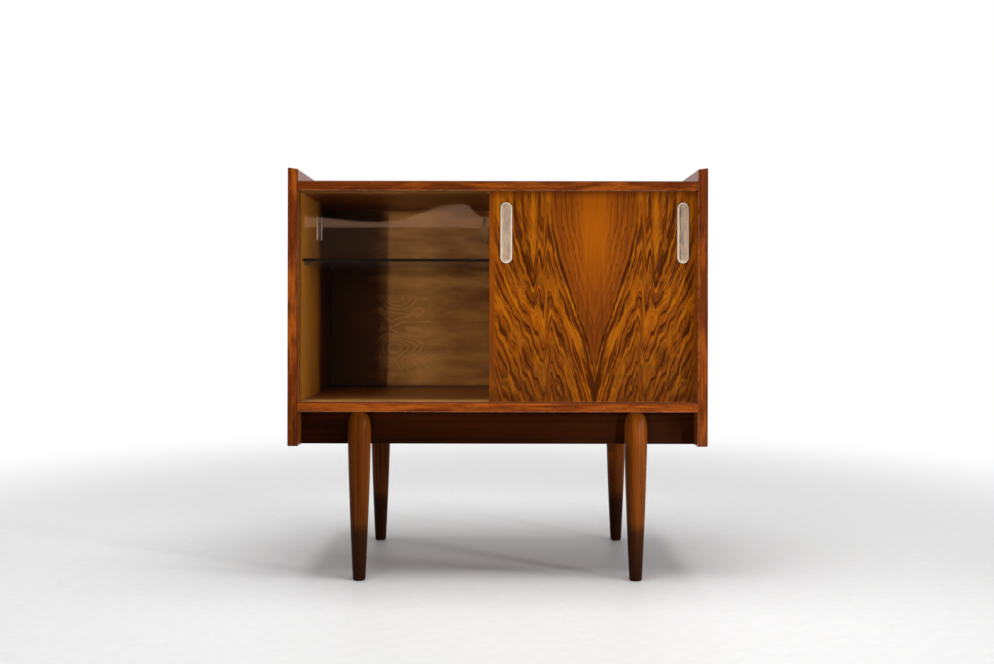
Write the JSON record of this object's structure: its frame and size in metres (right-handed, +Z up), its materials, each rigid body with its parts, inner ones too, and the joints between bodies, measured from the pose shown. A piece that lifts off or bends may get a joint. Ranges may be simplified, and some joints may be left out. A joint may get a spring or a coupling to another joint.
{
  "type": "mini bar cabinet",
  "caption": "Low veneered bar cabinet on turned legs, with a wooden door and a glass door that slide past each other in grooves, and a glass shelf inside.",
  "frame": {"origin": "on the floor, under the middle of the case's width and depth", "axes": "+X to the right of a person facing the doors, +Y from the doors to the back, +Z up"},
  "size_m": [0.8, 0.375, 0.7897],
  "materials": {
    "case_veneer": "walnut veneer under gloss lacquer",
    "lipping_wood": "stained solid wood under gloss lacquer",
    "back_plywood": "stained rotary-cut plywood, satin",
    "apron_wood": "stained wood under lacquer",
    "plain_wood": "bare beech",
    "leg_wood": "turned and stained, gloss lacquer",
    "zinced_steel": "zinc plated",
    "shelf_glass": "clear, ground edges",
    "pin_steel": "nickel plated",
    "door_veneer": "bookmatched figured walnut veneer under gloss lacquer",
    "pull_aluminium": "satin",
    "door_glass": "clear, ground edges and thumb grips"
  },
  "bodies": {
    "carcass": {"left_side_panel": "case_veneer", "right_side_panel": "case_veneer", "left_side_lipping": "lipping_wood", "right_side_lipping": "lipping_wood", "top_panel": "case_veneer", "top_lipping": "lipping_wood", "bottom_panel": "case_veneer", "bottom_lipping": "lipping_wood", "back_panel": "back_plywood", "front_apron": "apron_wood", "rear_apron": "apron_wood", "glue_blocks": "plain_wood", "carcass_dowels": "plain_wood", "apron_dowels": "plain_wood", "front_left_leg": "leg_wood", "front_right_leg": "leg_wood", "rear_left_leg": "leg_wood", "rear_right_leg": "leg_wood", "leg_screws": "zinced_steel", "leg_washers": "zinced_steel", "glass_shelf": "shelf_glass", "shelf_pins": "pin_steel"},
    "wood_door": {"wood_door_panel": "door_veneer", "left_cup_pull": "pull_aluminium", "right_cup_pull": "pull_aluminium"},
    "glass_door": {"glass_door_pane": "door_glass"}
  },
  "joints": [
    {"name": "wood_door_slide", "type": "slide", "parent": "carcass", "child": "wood_door", "axis": [1, 0, 0], "range_m": [-0.371, 0]},
    {"name": "glass_door_slide", "type": "slide", "parent": "carcass", "child": "glass_door", "axis": [1, 0, 0], "range_m": [0, 0.371]}
  ]
}
